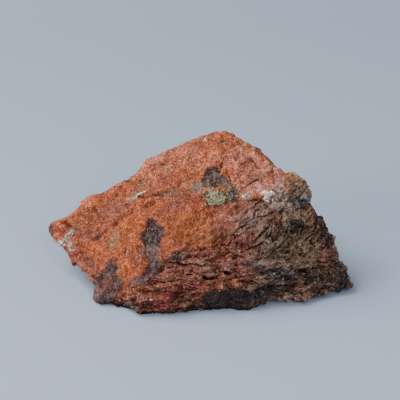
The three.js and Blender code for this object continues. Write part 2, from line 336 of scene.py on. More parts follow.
# Patches laid over the windows as well, in the same form
MARKS = [
    # Painted shadow along the upper left edge of the apex window
    ["charcoal", (2.4, 25.2), (0.4, 1.2), -30, 0.7],
    ["charcoal", (5.8, 21.8), (0.5, 1.1), 10, 0.9],
    ["putty", (4.6, 24), (1.4, 1.2), 0, 0.6],
    ["taupe", (3.4, 22), (3, 0.8), 10, 0.7],
    ["tan", (5.8, 22.6), (1.3, 1), 0, 0.6],
    ["blue grey", (2.6, 21.2), (1.8, 0.5), 0, 0.6],
    # Painted shadow along the right edge of the apex window
    ["charcoal", (7.6, 22.8), (1.2, 0.5), -50, 0.8],
    ["putty", (-13.4, 4.4), (1.1, 0.9), 0, 0.7],
    ["plum shadow", (-13.4, 9.4), (1.8, 1.2), 0, 0.5],
    ["taupe", (-15.6, 3.4), (1.2, 0.7), 50, 0.6],
    ["plum shadow", (-12, -1), (0.8, 2.4), 10, 0.5],
    ["rosewood", (-11.2, 2.2), (1.4, 1.6), 0, 0.6],
    ["plum shadow", (-24.6, -1), (1.3, 2), -20, 0.7],
    ["plum shadow", (-29.4, -8), (1.1, 4), 14, 0.6],
    ["rosewood", (-26.4, -6.4), (2.2, 2.4), 0, 0.6],
    ["umber", (-27.4, -3.6), (1.6, 1.6), 0, 0.6],
    ["golden", (-23, -3.4), (0.8, 1.4), -20, 0.6],
    ["mauve", (-25.4, -9.4), (2.2, 0.8), 10, 0.6],
    ["bone", (-28.4, -11.2), (0.8, 0.3), -20, 0.6],
    ["plum black", (-22.6, -12), (4, 1), -4, 0.7],
]

# Hollows, cracks and, with a depth below 0, knobs: [middle, half width and height, turn, depth]
HOLLOWS = [
    # The groove that sets off the tip's lobe, and the lobe
    [(-37, 10.6), (0.7, 3.6), 64, 0.45],
    [(-40.4, 9.6), (2.8, 3), 0, -0.9],
    # The lower left edge, and the steps of the back crest
    [(-33.6, -0.4), (4, 1.6), -42, -0.9],
    [(-31.4, 16.6), (4, 2), 30, -1.1],
    [(-33.8, 15.4), (0.9, 2.4), 70, 0.6],
    [(-19.6, 22.6), (0.8, 2.4), 60, 0.6],
    [(-29.4, -8.4), (2, 5), 14, -0.9],
    [(-12.6, 29), (5, 2), 30, -1.1],
    # The foot stands out at the right of the dark facet
    [(17, -12.8), (7.6, 2.2), 4, -2.5],
    # The cracks beside the apex window
    [(8.6, 23), (0.25, 2.8), 28, 0.6],
    [(5.9, 26.6), (0.3, 1.2), -20, 0.5],
    [(-17.4, 18.3), (1, 0.22), 10, 0.5],
    [(-10.4, 18.6), (0.8, 0.35), 10, 0.5],
    [(-20.8, 2.6), (0.5, 1.2), -20, 0.4],
    [(6.3, 33.4), (1, 0.4), 10, 0.3],
    # Pits of the break
    [(7.4, 2.2), (1.6, 0.7), 14, 1],
    [(7.8, -3.1), (1.1, 0.8), 0, 1.2],
    [(-2.2, -2.1), (0.8, 0.6), 0, 0.8],
    [(1.2, -4.6), (1.5, 0.6), -40, 1],
    [(-6.6, -0.8), (1.2, 0.7), 0, 0.6],
    [(-9.2, 0.2), (1.2, 0.8), 0, 0.8],
    [(26.8, 10), (2.8, 2.2), 0, 0.9],
    [(25.4, 13), (3.2, 0.7), 8, -0.5],
    [(23.2, 10.8), (0.7, 2), 24, -0.6],
    [(12, -5), (1, 0.6), 10, 0.7],
    [(30, -2.2), (5, 0.6), 8, 0.8],
    [(33.2, 2.4), (1, 0.8), 0, 0.7],
    [(24.6, 2.6), (1, 0.8), 0, 0.8],
    [(28.4, 2.2), (0.9, 0.7), 0, 0.8],
    # The long grooves of the break
    [(-4, -0.6), (6, 0.5), -4, 1.1],
    [(8.6, 1), (5, 0.5), 8, 0.7],
    [(-9, -5.4), (5, 0.45), 6, 0.9],
    [(3, -4.8), (5, 0.45), -2, 0.9],
    [(11, -4.2), (4, 0.4), 12, 0.8],
    [(12, 10), (4.5, 0.4), 42, 0.5],
    [(17.6, 8.4), (5, 0.45), 46, 1],
    [(21.4, 3.6), (4, 0.4), 44, 0.9],
    [(14, 3.8), (4, 0.4), 28, 0.8],
    [(24.6, 0.4), (3.4, 0.4), -26, 0.8],
    [(18.6, 13.4), (4, 0.4), 20, 0.8],
    [(31, 8), (4, 0.4), 50, 0.8],
    [(24, -6.6), (6, 0.5), 6, 0.9],
    # The shallow folds of the rind
    [(-26, 9), (7, 0.8), 35, 0.4],
    [(-18, 14.4), (6, 0.7), 26, 0.4],
    [(-5, 22.4), (5, 0.6), 30, 0.4],
    [(-12, 19), (6, 0.6), 10, 0.5],
    [(14, 28.6), (5, 0.6), -42, 0.35],
    [(15.4, 22.6), (3, 0.5), 30, 0.4],
    [(19.6, 24.6), (2.4, 0.5), 40, 0.35],
    # The knob, the notch above it, the recess below it and the bump below that
    [(27, 21.6), (3.6, 2.6), -30, -0.3],
    [(27.6, 25.2), (3.6, 1.7), -35, 1.3],
    [(31, 20.4), (1, 1.8), 0, 0.8],
    [(30.8, 22), (0.9, 2), 10, 0.4],
    [(29, 17), (3.4, 0.9), -6, 0.4],
    [(33.4, 12), (1.6, 1.2), -45, -0.5],
    # The ledge under the pink plane
    [(22.8, 15.7), (3.6, 0.8), 6, -0.7],
    [(32.6, 13.6), (1.4, 1.8), -40, 0.5],
    [(31.4, 13.6), (1.2, 1), 0, -0.5],
    [(16.4, 17.4), (6, 0.5), 0, 0.4],
]

# Crystals: [colour, middle, half width and height, turn, how many, how large]
CRYSTALS = [
    ["white", (19.3, 19), (1.9, 0.55), -4, 110, 0.42],
    ["white", (19.3, 17.7), (1.3, 0.6), -10, 60, 0.4],
    ["white", (12.4, 18), (0.8, 0.4), -20, 12, 0.35],
    ["bone", (13.4, 19), (1, 0.3), 30, 14, 0.35],
    ["bone", (13.8, 17.6), (0.8, 0.4), 0, 10, 0.35],
    ["olive", (4.2, 17.9), (3.2, 2.7), 0, 50, 0.35],
    ["pale green", (4.4, 18.2), (2.7, 2.3), 0, 150, 0.42],
    ["bone", (4.2, 17.8), (2.5, 2.2), 0, 120, 0.36],
    ["lilac", (3.4, 16.8), (2.4, 1.6), 0, 30, 0.35],
    ["umber", (8.2, 18.9), (2.5, 2.1), 0, 40, 0.4],
    ["putty", (8.4, 19), (2.4, 2), 0, 90, 0.4],
    ["bone", (8.6, 19.2), (2.2, 1.8), 0, 50, 0.35],
    ["ochre", (6, 20.7), (1.9, 0.5), -8, 40, 0.4],
    ["mauve", (6.3, 22.8), (0.6, 0.7), 0, 12, 0.4],
    ["bone", (6.3, 23), (0.4, 0.5), 0, 5, 0.3],
    ["white", (-16.6, 19.2), (1.9, 0.22), 32, 34, 0.3],
    ["bone", (-19.6, 17.8), (1.6, 0.3), 10, 26, 0.3],
    ["bone", (-41, 6.6), (1.9, 0.5), -48, 44, 0.4],
    ["white", (-38.6, 5.2), (1.6, 0.5), -48, 20, 0.35],
    ["bone", (-37, 7), (2.6, 1), 50, 60, 0.35],
    ["bone", (-36.2, 4.6), (0.9, 0.7), -45, 24, 0.35],
    ["slate", (-6.4, 1.6), (1, 1.7), 10, 50, 0.5],
    ["tan", (-6.2, 2.2), (0.6, 1), 10, 8, 0.35],
    ["lilac", (-4.4, 4.9), (0.6, 0.4), -20, 10, 0.3],
    ["bone", (-20.2, 2.4), (0.5, 0.8), -20, 12, 0.3],
    ["bone", (7.7, -1.6), (0.8, 0.35), 0, 16, 0.35],
    ["bone", (10.6, 2.8), (0.9, 0.4), 35, 24, 0.35],
    ["pink", (-5, 4.6), (1.4, 0.4), -20, 14, 0.3],
    ["bone", (0, -4.2), (1, 0.6), -30, 12, 0.3],
    ["bone", (22.4, 15.8), (2.8, 0.8), 6, 130, 0.35],
    ["lilac", (22, 15.6), (3.2, 1.2), 6, 110, 0.4],
    ["bone", (-9.2, 26.4), (0.8, 0.6), 0, 10, 0.3],
    ["white", (21.1, -3.1), (0.3, 0.3), 0, 4, 0.45],
    ["white", (-13.3, -10.1), (0.5, 0.4), 0, 8, 0.35],
    ["putty", (22.4, 15.6), (2.6, 0.7), 10, 50, 0.4],
    ["slate", (28, 17.4), (2.9, 1.5), 0, 30, 0.4],
    ["blue grey", (28, 17.4), (2.9, 1.5), 0, 100, 0.35],
    ["bone", (26.6, 17.4), (2, 1), 0, 12, 0.3],
    ["tan", (27.8, 20.6), (2.6, 2), -20, 60, 0.6],
    ["plum black", (28.4, 20), (2.6, 2.2), -20, 40, 0.45],
    ["bone", (28, 20.4), (2.8, 2.2), -20, 40, 0.4],
    ["ochre", (25.4, 23.4), (1.6, 0.5), -15, 16, 0.4],
    ["white", (1.2, 34.2), (0.8, 0.3), 10, 8, 0.25],
    ["putty", (-13.4, 4.2), (1.2, 0.8), 0, 26, 0.35],
    ["putty", (24, 11.4), (0.4, 2), 40, 16, 0.3],
    ["charcoal", (-13.4, 7.6), (2, 4), 0, 110, 0.35],
    ["mauve", (-13.4, 7.6), (2, 4), 0, 60, 0.35],
    ["putty", (-13.6, 6.4), (1.6, 3), 0, 60, 0.35],
    ["charcoal", (-13.4, -0.6), (1.3, 3.4), 15, 50, 0.25],
    ["putty", (-13.4, -0.6), (1.3, 3.4), 15, 30, 0.25],
    ["plum shadow", (4, 23.8), (2.4, 2.4), 0, 60, 0.3],
    ["putty", (4, 24), (2.2, 2.2), 0, 40, 0.25],
]

# Three kinds of lath: how many there are, the rings of corners along each, its length and its
# width, how far it curls, how bright it is, and its range of paleness
LATHS = {
    "laths": {"seed": 61, "count": 7600, "rings": 5, "length": (0.5, 1.4), "width": (0.15, 0.3),
              "curl": 0.9, "bright": 0.55, "pale": (-0.7, 0.7)},
    "threads": {"seed": 67, "count": 5000, "rings": 7, "length": (1, 3), "width": (0.1, 0.2),
                "curl": 0.8, "bright": 0.95, "pale": (-0.2, 1)},
    "splinters": {"seed": 73, "count": 9500, "rings": 4, "length": (0.4, 1), "width": (0.1, 0.2),
                  "curl": 0.7, "bright": 0.9, "pale": (-0.5, 1.1)},
}

# How bright the three corners of a lath's ring are: painted shade at its foot, a painted highlight on
# its crest
RING_SHADES = np.array([0.3, 1.6, 0.3])

# A crystal is a block. The white ones have one cleavage, which glints.
CLEAVAGE = np.array([-0.36, -0.43, 0.82])
CRYSTAL_LIFT = 0.1
CRUMB_COUNT = 2500
BLOCK_CORNERS = np.array(list(itertools.product((-0.5, 0.5), repeat=3)))
BLOCK_TRIANGLES = np.array([
    (0, 1, 3), (0, 3, 2), (4, 6, 7), (4, 7, 5), (0, 4, 5), (0, 5, 1),
    (2, 3, 7), (2, 7, 6), (0, 2, 6), (0, 6, 4), (1, 5, 7), (1, 7, 3),
])

# The sockets of a Mix node that take and give colours
MIX_SHARE, MIX_FIRST, MIX_SECOND, MIX_RESULT = 0, 6, 7, 2

# The set, in metres. The floor's colour goes from FLOOR_NEAR to FLOOR_FAR over the stretch FLOOR_FADE:
# painted light, lighter at the front.
FLOOR_WIDTH = 8
FLOOR_FADE = (-0.12, 0.14)
FLOOR_NEAR = (0.58, 0.69, 0.87, 1)
FLOOR_FAR = (0.44, 0.525, 0.66, 1)
SKY = (0.86, 0.92, 1, 1)
SKY_STRENGTH = 0.26

# Lamps: [name, place, size, power, colour]
LAMPS = [
    ["softbox", (-0.8, 0.34, 1.02), 0.9, 15.5, (1, 0.985, 0.96)],
    ["front fill", (0.3, -0.6, 0.7), 0.6, 1.8, (1, 1, 1)],
    ["left fill", (-0.76, -0.26, 0.18), 0.5, 4.4, (1, 1, 1)],
]


def linear(colour):
    """A colour of the palette as a shader reads it, which undoes the picture's own curve."""
    share = np.array(PALETTE[colour]) / 255
    return np.where(share <= 0.04045, share / 12.92, ((share + 0.055) / 1.055) ** 2.4)


def eased(low, high, values):
    """0 up to low, 1 from high on, and a smooth rise between the two."""
    share = np.clip((values - low) / (high - low), 0, 1)
    return share * share * (3 - 2 * share)


def unit(vectors):
    return vectors / np.maximum(np.linalg.norm(vectors, axis=-1, keepdims=True), 1e-9)


def mixed(first, second, share):
    return first + (second - first) * share


def blended(first, second, share):
    """Between two colours, or two lists of colours, with a share for each point."""
    return mixed(first, second, np.reshape(share, (-1, 1)))


def held(colours, low, high):
    """Colours brought between low and high; those that are too bright, such as painted highlights,
    turn pale.
    """
    fit = np.minimum(1, high / colours.max(axis=1, keepdims=True))
    return np.maximum(mixed(linear("bone") * high, colours * fit, fit), low)


# Noise

def tables(seed):
    """A shuffled list of 256 numbers, and a random direction and spot for each."""
    random = np.random.default_rng(seed)
    order = random.permutation(256)
    return order, unit(random.normal(size=(256, 3))), random.random((256, 3))


def lattice_number(order, cell):
    x, y, z = (cell & 255).T
    return order[(order[(order[x] + y) & 255] + z) & 255]


def lumps(points, size, seed):
    """Smooth noise of about -1 to 1, whose lumps are size across."""
    order, slopes, _ = tables(seed)
    places = points / size
    cell = np.floor(places).astype(int)
    part = places - cell
    fade = part ** 3 * (part * (part * 6 - 15) + 10)
    total = np.zeros(len(points))
    for corner in itertools.product((0, 1), repeat=3):
        slope = slopes[lattice_number(order, cell + corner)]
        weight = np.prod(np.where(corner, fade, 1 - fade), axis=1)
        total += weight * np.einsum("ij,ij->i", slope, part - corner)
    return total * 1.6


def layered(points, layers):
    """Noise of several sizes, added up."""
    return sum(strength * lumps(points, size, seed) for strength, size, seed in layers)


def fibres(points, size, stretch, turn, seed):
    """Ridged noise of 0 to 1 drawn out along a line that is turned from the level."""
    angle = math.radians(turn)
    along = points @ (math.cos(angle), 0, math.sin(angle)) / stretch
    across = points @ (-math.sin(angle), 0, math.cos(angle))
    drawn = np.stack([along, points[:, 1], across], 1)
    return 1 - np.abs(lumps(drawn, size, seed))


def cells(points, size, seed):
    """Irregular cells about size across: how far a point is from the wall of its cell, as a
    share of the size, and a random number of 0 to 1 for the cell."""
    order, _, spots = tables(seed)
    places = points / size
    home = np.floor(places).astype(int)
    nearest = np.full(len(points), np.inf)
    second = np.full(len(points), np.inf)
    name = np.zeros(len(points), int)
    for step in itertools.product((-1, 0, 1), repeat=3):
        number = lattice_number(order, home + step)
        away = np.linalg.norm(home + step + spots[number] - places, axis=1)
        first = away < nearest
        second = np.where(first, nearest, np.minimum(second, away))
        nearest = np.where(first, away, nearest)
        name[first] = number[first]
    return second - nearest, name / 255


# Places in the picture

def in_picture(points):
    """Where points show: mm to the right of the picture's middle, and up from the base line."""
    away = points - AIM
    larger = CAMERA_AWAY / (CAMERA_AWAY - away @ TO_CAMERA)
    return np.stack([away @ PICTURE_RIGHT * larger, away @ PICTURE_UP * larger + AIM @ PICTURE_UP], 1)


def depth_inside(places, outline):
    """How far places lie inside an outline, in mm; less than 0 outside it."""
    corners = np.array(outline, float)
    nearest = np.full(len(places), np.inf)
    inside = np.zeros(len(places), bool)
    for start, end in zip(corners, np.roll(corners, -1, axis=0)):
        side = end - start
        away = places - start
        along = np.clip(away @ side / (side @ side), 0, 1)
        nearest = np.minimum(nearest, np.linalg.norm(away - along[:, None] * side, axis=1))
        crossed = (start[1] > places[:, 1]) != (end[1] > places[:, 1])
        rise = side[1] if side[1] else 1
        inside ^= crossed & (away[:, 0] < away[:, 1] * side[0] / rise)
    return np.where(inside, nearest, -nearest)


def from_middle(places, middle, half, turn=0):
    """Distance of places from an oval's middle, 1 on its rim."""
    angle = math.radians(turn)
    away = places - middle
    along = away @ (math.cos(angle), math.sin(angle)) / half[0]
    across = away @ (-math.sin(angle), math.cos(angle)) / half[1]
    return np.hypot(along, across)


# The fine mesh

class Surface:
    """Points in mm, and the triangles between them."""

    def __init__(self, points, triangles):
        self.points = points
        self.triangles = triangles

    def sides(self):
        """The point numbers at the ends of every side, and each triangle's three sides."""
        ends = self.triangles[:, [[0, 1], [1, 2], [2, 0]]].reshape(-1, 2)
        ends.sort(axis=1)
        keys, which = np.unique(ends[:, 0] * len(self.points) + ends[:, 1], return_inverse=True)
        return np.stack(np.divmod(keys, len(self.points)), 1), which.reshape(-1, 3)

    def facings(self):
        """A vector square to each triangle, twice its area long."""
        a, b, c = (self.points[self.triangles[:, k]] for k in range(3))
        return np.cross(b - a, c - a)

    def normals(self):
        facing = self.facings()
        total = np.zeros_like(self.points)
        for axis, corner in itertools.product(range(3), range(3)):
            total[:, axis] += np.bincount(
                self.triangles[:, corner], facing[:, axis], len(self.points)
            )
        return unit(total)

    def around(self, values, ends):
        """The mean of each point's neighbours."""
        count = np.bincount(ends.ravel(), minlength=len(self.points))
        total = np.stack([
            np.bincount(ends[:, 0], column[ends[:, 1]], len(self.points))
            + np.bincount(ends[:, 1], column[ends[:, 0]], len(self.points))
            for column in values.T
        ], 1)
        return total / count[:, None]

    def evened(self, values, passes, share=1):
        """Values evened out over the surface, each pass by a share of the way."""
        ends = self.sides()[0]
        for _ in range(passes):
            values = mixed(values, self.around(values, ends), share)
        return values

    def hollowness(self, passes):
        """How far each point lies below the surface around it, in mm."""
        level = self.evened(self.points, passes)
        return np.einsum("ij,ij->i", level - self.points, self.normals())

    def worn(self, passes, draw=0.6, rebound=0.56):
        """Rounds the edges but keeps the size; the sole keeps its height."""
        ends = self.sides()[0]
        sole = self.points[:, 2] < SOLE_HEIGHT
        for share in (draw, -rebound) * passes:
            moved = mixed(self.points, self.around(self.points, ends), share)
            moved[sole, 2] = self.points[sole, 2]
            self.points = moved

    def refine(self, longest):
        """Splits each side that is over what longest allows at its middle, all of them once."""
        ends, which = self.sides()
        middles = self.points[ends].mean(axis=1)
        lengths = np.linalg.norm(self.points[ends[:, 0]] - self.points[ends[:, 1]], axis=1)
        split = lengths > longest(middles)
        number = np.full(len(ends), -1)
        number[split] = len(self.points) + np.arange(split.sum())
        self.points = np.vstack([self.points, middles[split]])
        self.triangles = cut(self.triangles, number[which])
        return bool(split.any())


def cut(triangles, middles):
    """Triangles cut at the middles of their sides; -1 is a side left whole."""
    whole = (middles < 0).sum(axis=1)
    # Turned so that a lone split side comes first, and a lone whole side comes last
    lead = np.where(whole == 2, np.argmax(middles >= 0, axis=1), np.argmin(middles, axis=1) + 1)
    turn = (lead[:, None] + np.arange(3)) % 3
    a, b, c = np.take_along_axis(triangles, turn, 1).T
    ab, bc, ca = np.take_along_axis(middles, turn, 1).T
    patterns = {
        3: [(a, b, c)],
        2: [(a, ab, c), (ab, b, c)],
        1: [(ab, b, bc), (a, ab, bc), (a, bc, c)],
        0: [(a, ab, ca), (ab, b, bc), (ca, bc, c), (ab, bc, ca)],
    }
    return np.vstack([
        np.stack(corners, 1)[whole == count]
        for count, pieces in patterns.items() for corners in pieces
    ])


def solid_surface():
    """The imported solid's own surface, its shared corners joined."""
    shape = bmesh.new()
    shape.from_mesh(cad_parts["nuummite"].data)
    bmesh.ops.remove_doubles(shape, verts=shape.verts, dist=1e-6)
    bmesh.ops.triangulate(shape, faces=shape.faces)
    points = np.array([corner.co for corner in shape.verts]) / MM
    triangles = np.array([[corner.index for corner in face.verts] for face in shape.faces])
    shape.free()
    return Surface(points, triangles)


def grain_at(points):
    """The longest side that a triangle may have there."""
    shown = eased(-4, 4, 12 - points[:, 1])
    on_break = eased(-3, 0, depth_inside(in_picture(points), BREAK))
    grain = mixed(HIDDEN_GRAIN, mixed(RIND_GRAIN, BREAK_GRAIN, on_break), shown)
    return np.where(points[:, 2] < SOLE_HEIGHT, SOLE_GRAIN, grain)


def fine_surface():
    """The solid's surface, split and worn by turns until its grain is reached."""
    surface = solid_surface()
    surface.worn(1)
    for size in WEAR_GRAINS:
        while surface.refine(lambda points: np.maximum(grain_at(points), size)):
            pass
        surface.worn(2)
    while surface.refine(grain_at):
        pass
    surface.worn(1)
    return surface


# What each point of the surface is made of

class Fields:
    """Values at each point of the worn surface, before the relief is raised on it."""

    def __init__(self, surface):
        self.points = surface.points
        self.normals = surface.normals()
        self.sole = self.points[:, 2] < SOLE_HEIGHT
        # How far points are turned to the camera: front is for those in full view, and shown
        # takes in those just past the rim
        self.facing = self.normals @ TO_CAMERA
        self.front = eased(0, 0.3, self.facing)
        self.shown = eased(-0.4, 0.05, self.facing)
        self.specks = layered(self.points, SPECKS)
        plain = in_picture(self.points)
        ragged = np.stack([layered(self.points, layers) for layers in RAGGED], 1)
        self.places = plain + 0.5 * ragged
        self.broken = self.break_share(plain, ragged)
        self.windows = [
            self.shown * eased(-0.2, 0.2, depth_inside(self.places, outline) + 0.35 * self.specks)
            for _, _, _, outline in WINDOWS
        ]
        self.bare = np.max(self.windows, axis=0)
        # The thin rind near the middle is rough as well
        thin = np.exp(-from_middle(plain, *THIN_RIND) ** 2)
        self.rough = np.maximum(self.broken, 0.4 * thin * self.front)
        # How level the grain of the break runs, and where it is finely foliated
        self.level = eased(8, 1, self.places[:, 1])
        self.foliated = (
            eased(-3, -7, self.places[:, 1]) * eased(3, -3, self.places[:, 0]) * self.broken
        )
        # Where laths and crumbs can grow, fewer of them behind
        self.open = (1 - self.bare) * ~self.sole * (0.3 + self.front)

    def break_share(self, plain, ragged):
        """1 on the break and 0 on the rind, which thins out slowly near the middle."""
        inside = depth_inside(plain + 1.3 * ragged, BREAK) + 0.5 * self.specks
        soft = 4 * np.exp(-from_middle(plain, *SOFT_EDGE) ** 2)
        shown = eased(-1.2 - 0.3 * soft, 1.2 + soft, inside)
        below = HIDDEN_BREAK_TOP + 3 * lumps(self.points, 9, 17) - self.points[:, 2]
        return mixed(eased(-2, 2, below), shown, self.front)

    def mottled(self, first, second, size, seed):
        """Two colours of the palette in mottles of that size."""
        share = eased(-0.3, 0.3, lumps(self.points, size, seed) + 0.3 * self.specks)
        return blended(linear(first), linear(second), share)

    def patched(self, paint, patches):
        """The paint with patches laid over it, their rims frayed by the specks."""
        for colour, middle, half, turn, strength in patches:
            reach = 1 - from_middle(self.places, middle, half, turn) + 0.45 * self.specks
            paint = blended(
                paint, linear(colour), self.shown * strength * eased(-0.3, 0.45, reach)
            )
        return paint


def raised(fields):
    """How far each point stands out from the worn solid, in mm, and how much of a pit it is."""
    points = fields.points
    warp = np.stack([lumps(points, 1.8, seed) for seed in (21, 22, 23)], 1)
    wall, chance = cells(points + 0.8 * warp, 1.5, 24)
    pits = eased(0.05, 0.5, wall) * eased(0.3, 0.8, chance)
    coarse = layered(points, BREAK_LUMPS) - 0.45 * pits * (1 - fields.foliated)
    for strength, size, seed in BREAK_RIDGES:
        oblique = fibres(points + 0.8 * warp, size, 3, 38, seed)
        flat = fibres(points + 0.5 * warp, size, 4.8, 4, seed + 1)
        coarse += strength * (mixed(oblique, flat, fields.level) - 0.75)
    grain = layered(points, RIND_LUMPS) + 0.6 * (fibres(points, 5, 2.5, 26, 38) - 0.75)
    # Behind, where nothing is known, the rind has broad ledges
    ledges = 0.9 * lumps(points, 9, 36) + 0.7 * (fibres(points, 6, 2, 15, 37) - 0.75)
    grain += ledges * eased(0.1, -0.3, fields.facing)
    out = mixed(grain, coarse, fields.rough * (1 - 0.7 * fields.bare))
    for (depth, *_), share in zip(WINDOWS, fields.windows):
        out -= depth * share
    for middle, half, turn, depth in HOLLOWS:
        away = from_middle(fields.places, middle, half, turn)
        out -= fields.shown * depth * (1 - eased(0.3, 1.3, away))
    out[fields.sole] = 0
    return out, pits * fields.broken


def rind_paint(fields):
    broad = lumps(fields.points, 4, 43) + fibres(fields.points, 3, 3, 26, 40) - 0.8
    paint = blended(
        fields.mottled("rust", "brown rust", 2.4, 41), fields.mottled("orange", "brick", 1.8, 42),
        0.7 * eased(-0.3, 0.3, broad + 0.4 * fields.specks)
    )
    light = fields.mottled("golden", "pink", 1.4, 39)
    return blended(paint, light, 0.22 * eased(0, 0.4, fields.specks))


def break_paint(fields):
    """Red in the middle, grey-brown on the right, darker at the foot and out of sight."""
    middle = blended(
        fields.mottled("brick", "rosewood", 2.4, 45), fields.mottled("dusty rose", "rust red", 3, 46),
        eased(-0.4, 0.4, lumps(fields.points, 3.3, 47))
    )
    far = blended(
        fields.mottled("umber", "taupe", 2.2, 48), fields.mottled("charcoal", "rosewood", 2, 49),
        eased(0, 0.6, lumps(fields.points, 2.8, 50))
    )
    hidden = blended(
        fields.mottled("umber", "brown rust", 5, 51), fields.mottled("plum black", "olive", 3, 52),
        eased(-0.2, 0.4, lumps(fields.points, 4, 53))
    )
    right = eased(8, 20, fields.places[:, 0] + 3 * lumps(fields.points, 5, 44) + 2 * fields.specks)
    low = eased(-2, -9, fields.places[:, 1])
    shown = blended(blended(middle, far, right), linear("oxblood"), 0.4 * low)
    return blended(hidden, shown, fields.front)


def coloured(fields):
    """Base colour of each point, from the broad zones down to the single patches."""
    paint = blended(rind_paint(fields), break_paint(fields), fields.broken)
    paint = fields.patched(paint, PATCHES)
    for (_, colour, mottle, _), share in zip(WINDOWS, fields.windows):
        paint = blended(paint, fields.mottled(colour, mottle, 1.3, 54), 0.92 * share)
    paint = fields.patched(paint, MARKS)
    # Painted shade: the foot is painted near black where it meets the floor
    paint = blended(paint, linear("plum black"), 0.9 * eased(2.2, 0.7, fields.points[:, 2]))
    # Painted shade: the edge turned from the viewer is painted umber, and behind it the rind is patchy
    rim = eased(0.22, 0, fields.facing) * eased(-0.35, -0.1, fields.facing)
    paint = blended(paint, linear("umber"), 0.8 * rim * (1 - fields.broken))
    patchy = eased(-0.1, 0.4, lumps(fields.points, 5, 56) + 0.3 * fields.specks)
    behind = 0.6 * patchy * eased(0, -0.3, fields.facing) * (1 - fields.broken)
    return blended(paint, 0.8 * fields.mottled("mauve", "umber", 7, 55), behind)


def painted_shade(surface):
    """Painted shade and highlight, partly dirt: darker in hollows and at the foot, lighter on ridges.
    """
    narrow, wide = surface.hollowness(6), surface.hollowness(80)
    return (
        (1 - 0.7 * eased(0.02, 0.35, narrow)) * (1 + 0.5 * eased(0, 0.25, -narrow))
        * (1 - 0.5 * eased(0, 1, wide)) * (1 + 0.4 * eased(0, 0.9, -wide))
        * (1 - 0.8 * eased(2.6, 0.2, surface.points[:, 2]))
    )


class Ground:
    """The raised surface, its paint and its shade, on which laths and crystals grow."""

    def __init__(self):
        self.surface = fine_surface()
        self.fields = Fields(self.surface)
        out, self.pits = raised(self.fields)
        moved = self.fields.points + self.fields.normals * out[:, None]
        moved[~self.fields.sole] = above_floor(moved[~self.fields.sole])
        self.surface.points = moved
        self.points = moved
        self.normals = self.surface.normals()
        self.paint = self.surface.evened(coloured(self.fields), 3, 0.7)
        self.calm = self.surface.evened(self.paint, 3)
        self.shade = painted_shade(self.surface)
        self.nearest = finder(moved)


# Meshes

def above_floor(points):
    """Points brought up to just above the floor, where they would lie below it."""
    return np.maximum(points, (-np.inf, -np.inf, LOWEST))


def finder(points):
    """Finds the nearest of the points to each place."""
    tree = KDTree(len(points))
    for number, point in enumerate(points):
        tree.insert(point, number)
    tree.balance()
    return lambda places: np.array([tree.find(place)[1] for place in places])


def mesh_object(name, points, triangles, colours, smooth=False):
    mesh = bpy.data.meshes.new(name)
    mesh.from_pydata(points * MM, [], triangles.tolist())
    if smooth:
        mesh.shade_smooth()
    layer = mesh.color_attributes.new("paint", "FLOAT_COLOR", "POINT")
    layer.data.foreach_set("color", np.column_stack([colours, np.ones(len(colours))]).ravel())
    piece = bpy.data.objects.new(name, mesh)
    bpy.context.scene.collection.objects.link(piece)
    return piece


def add_field(piece, name, values):
    layer = piece.data.attributes.new(name, "FLOAT", "POINT")
    layer.data.foreach_set("value", np.asarray(values, np.float32))


def make_stone(ground):
    fields = ground.fields
    # Painted shade: the break is darker between the laths that grow on it, and darker still in its
    # pits
    under = (1 - 0.45 * fields.broken * (1 - fields.bare)) * (1 - 0.45 * ground.pits)
    colours = held(ground.paint * (ground.shade * under)[:, None], 0.003, 0.85)
    stone = mesh_object(
        "nuummite_stone", ground.points, ground.surface.triangles, colours, smooth=True
    )
    add_field(stone, "broken", fields.rough * (1 - fields.bare))
    add_field(stone, "bare", fields.bare)
    return stone


def copies(corners, triangles):
    """One mesh out of many shapes: corners of each, and the triangles that they share."""
    count, size = corners.shape[:2]
    joined = (triangles[None] + size * np.arange(count)[:, None, None]).reshape(-1, 3)
    return corners.reshape(-1, 3), joined


def axes_on(normals, turns):
    """Directions along and across a piece that lies on the surface, turned from the level."""
    level = unit(np.cross((0, 0, 1), normals + (0, 1e-3, 0)))
    rise = np.cross(normals, level)
    turns = turns[:, None]
    along = np.cos(turns) * level + np.sin(turns) * rise
    return along, np.cross(normals, along)


# Laths

def lath_triangles(rings):
    """The triangles of a lath with so many rings, closed at both ends."""
    corners = np.arange(3 * rings).reshape(-1, 3)
    a, c = corners[:-1].ravel(), corners[1:].ravel()
    b, d = np.roll(corners, -1, axis=1)[:-1].ravel(), np.roll(corners, -1, axis=1)[1:].ravel()
    ends = [(0, 1, 2), (3 * rings - 1, 3 * rings - 2, 3 * rings - 3)]
    return np.vstack([np.stack([a, c, b], 1), np.stack([b, c, d], 1), ends])


def lath_starts(random, kind, ground):
    """The point where each lath starts, mostly on the light ridges of the break."""
    triangles = ground.surface.triangles
    areas = np.linalg.norm(ground.surface.facings(), axis=1)
    density = ground.fields.rough ** 2 * ground.fields.open * ground.shade
    weights = areas * density[triangles].mean(axis=1)
    return triangles[random.choice(len(areas), kind["count"], p=weights / weights.sum()), 0]


def lath_turns(places, at, kind, fields):
    """How the grain runs there: oblique above, level below, and swirling on the right."""
    wild = 0.4 + 0.8 * eased(12, 22, fields.places[at, 0]) * (1 - 0.6 * fields.level[at])
    wild *= kind["curl"] * (1 - 0.8 * fields.foliated[at])
    return mixed(0.7, 0.05, fields.level[at]) + wild * layered(places, SWIRLS)


